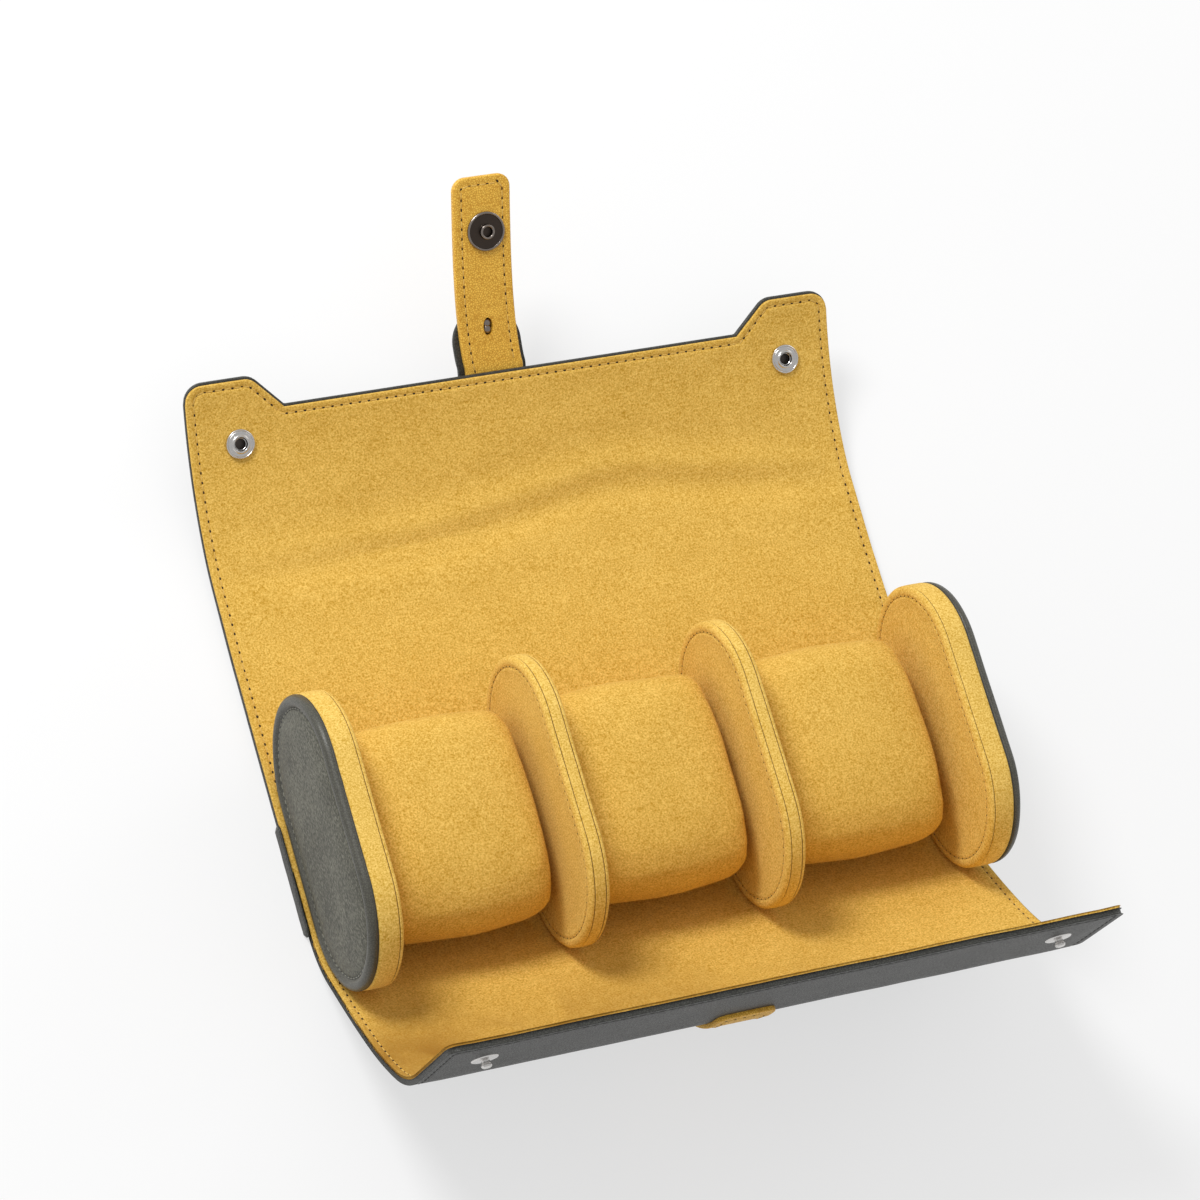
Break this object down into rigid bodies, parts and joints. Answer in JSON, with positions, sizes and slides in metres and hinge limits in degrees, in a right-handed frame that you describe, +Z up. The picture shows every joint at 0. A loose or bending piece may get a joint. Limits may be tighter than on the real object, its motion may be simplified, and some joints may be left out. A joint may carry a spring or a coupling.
{
  "type": "watch travel case",
  "caption": "Roll-up watch travel case with stadium walls, removable pillows, hinged wrap flaps, press studs and a snap strap.",
  "frame": {"origin": "on the table under the middle of the core, on the outer face of the wrap's base", "axes": "+X along the roll, +Y towards the back flap with the ears and strap, +Z up from the table"},
  "size_m": [0.2122, 0.2714, 0.0878],
  "materials": {
    "suede": "microsuede, short nap",
    "outer_leather": "grained leather, semi-matte",
    "panel_leather": "padded grained leather",
    "strap_leather": "smooth grained leather",
    "nickel": "polished nickel",
    "gunmetal": "dark polished gunmetal",
    "board": "grey board",
    "foam": "open foam"
  },
  "bodies": {
    "core": {"base_leather": "outer_leather", "base_board": "board", "base_lining": "suede", "side_strips": "outer_leather", "left_wall_board": "board", "left_wall_cover": "suede", "left_pad": "foam", "left_panel": "panel_leather", "right_wall_board": "board", "right_wall_cover": "suede", "right_pad": "foam", "right_panel": "panel_leather", "divider_board_1": "board", "divider_cover_1": "suede", "divider_board_2": "board", "divider_cover_2": "suede"},
    "front_near": {"front_leather_1": "outer_leather", "front_lining_1": "suede"},
    "front_middle": {"front_leather_2": "outer_leather", "front_lining_2": "suede", "tab_lower": "strap_leather", "tab_socket": "gunmetal"},
    "front_lip": {"front_leather_3": "outer_leather", "front_board_3": "board", "front_lining_3": "suede", "snap_studs": "nickel", "snap_stud_backs": "nickel", "tab_upper": "strap_leather"},
    "back_1": {"back_leather_1": "outer_leather", "back_lining_1": "suede"},
    "back_2": {"back_leather_2": "outer_leather", "back_lining_2": "suede"},
    "back_3": {"back_leather_3": "outer_leather", "back_lining_3": "suede"},
    "back_4": {"back_leather_4": "outer_leather", "back_lining_4": "suede"},
    "back_ears": {"back_leather_5": "outer_leather", "back_board_5": "board", "back_lining_5": "suede", "snap_sockets": "nickel", "snap_socket_caps": "nickel", "strap_root": "strap_leather", "tongue_root": "outer_leather"},
    "strap_near": {"strap_1": "strap_leather", "tongue_tip": "outer_leather", "strap_rivet": "nickel"},
    "strap_middle": {"strap_2": "strap_leather"},
    "strap_end": {"strap_3": "strap_leather", "strap_snap": "gunmetal", "strap_snap_cap": "gunmetal"},
    "pillow_1": {"pillow_cover_1": "suede", "pillow_foam_1": "foam"},
    "pillow_2": {"pillow_cover_2": "suede", "pillow_foam_2": "foam"},
    "pillow_3": {"pillow_cover_3": "suede", "pillow_foam_3": "foam"}
  },
  "joints": [
    {"name": "front_fold", "type": "hinge", "parent": "core", "child": "front_near", "pos_m": [0, -0.04274, 0.01235], "axis": [-1, 0, 0], "range_deg": [-16, 38.5]},
    {"name": "front_fold_2", "type": "hinge", "parent": "front_near", "child": "front_middle", "pos_m": [0, -0.05864, 0.02488], "axis": [-1, 0, 0], "range_deg": [-15.2, 36.2]},
    {"name": "front_fold_3", "type": "hinge", "parent": "front_middle", "child": "front_lip", "pos_m": [0, -0.07256, 0.03954], "axis": [-1, 0, 0], "range_deg": [-7, 16.7]},
    {"name": "back_fold", "type": "hinge", "parent": "core", "child": "back_1", "pos_m": [0, 0.027, 0.0013], "axis": [1, 0, 0], "range_deg": [0, 32]},
    {"name": "back_fold_2", "type": "hinge", "parent": "back_1", "child": "back_2", "pos_m": [0, 0.04175, 0.0013], "axis": [1, 0, 0], "range_deg": [0, 32.2]},
    {"name": "back_fold_3", "type": "hinge", "parent": "back_2", "child": "back_3", "pos_m": [0, 0.0575, 0.0013], "axis": [1, 0, 0], "range_deg": [0, 32.2]},
    {"name": "back_fold_4", "type": "hinge", "parent": "back_3", "child": "back_4", "pos_m": [0, 0.07374, 0.0017], "axis": [1, 0, 0], "range_deg": [0, 31.2]},
    {"name": "back_fold_5", "type": "hinge", "parent": "back_4", "child": "back_ears", "pos_m": [0, 0.08873, 0.00243], "axis": [1, 0, 0], "range_deg": [0, 23.9]},
    {"name": "strap_fold", "type": "hinge", "parent": "back_ears", "child": "strap_near", "pos_m": [-0.0055, 0.13936, 0.01817], "axis": [1, 0, 0], "range_deg": [-4, 10]},
    {"name": "strap_fold_2", "type": "hinge", "parent": "strap_near", "child": "strap_middle", "pos_m": [-0.0055, 0.15445, 0.02798], "axis": [1, 0, 0], "range_deg": [-9.7, 24.1]},
    {"name": "strap_fold_3", "type": "hinge", "parent": "strap_middle", "child": "strap_end", "pos_m": [-0.0055, 0.1666, 0.03589], "axis": [1, 0, 0], "range_deg": [-9.7, 24.1]},
    {"name": "pillow_lift_1", "type": "slide", "parent": "core", "child": "pillow_1", "axis": [0, 0, -1], "range_m": [-0.07, 0]},
    {"name": "pillow_lift_2", "type": "slide", "parent": "core", "child": "pillow_2", "axis": [0, 0, -1], "range_m": [-0.07, 0]},
    {"name": "pillow_lift_3", "type": "slide", "parent": "core", "child": "pillow_3", "axis": [0, 0, -1], "range_m": [-0.07, 0]}
  ],
  "couplings": [
    {"joint": "front_fold_2", "follows": "front_fold", "ratio": 0.935},
    {"joint": "front_fold_3", "follows": "front_fold", "ratio": 0.4286},
    {"joint": "back_fold_2", "follows": "back_fold", "ratio": 1},
    {"joint": "back_fold_3", "follows": "back_fold", "ratio": 1},
    {"joint": "back_fold_4", "follows": "back_fold", "ratio": 0.97},
    {"joint": "back_fold_5", "follows": "back_fold", "ratio": 0.74},
    {"joint": "strap_fold_2", "follows": "strap_fold", "ratio": 2.4},
    {"joint": "strap_fold_3", "follows": "strap_fold", "ratio": 2.4}
  ]
}
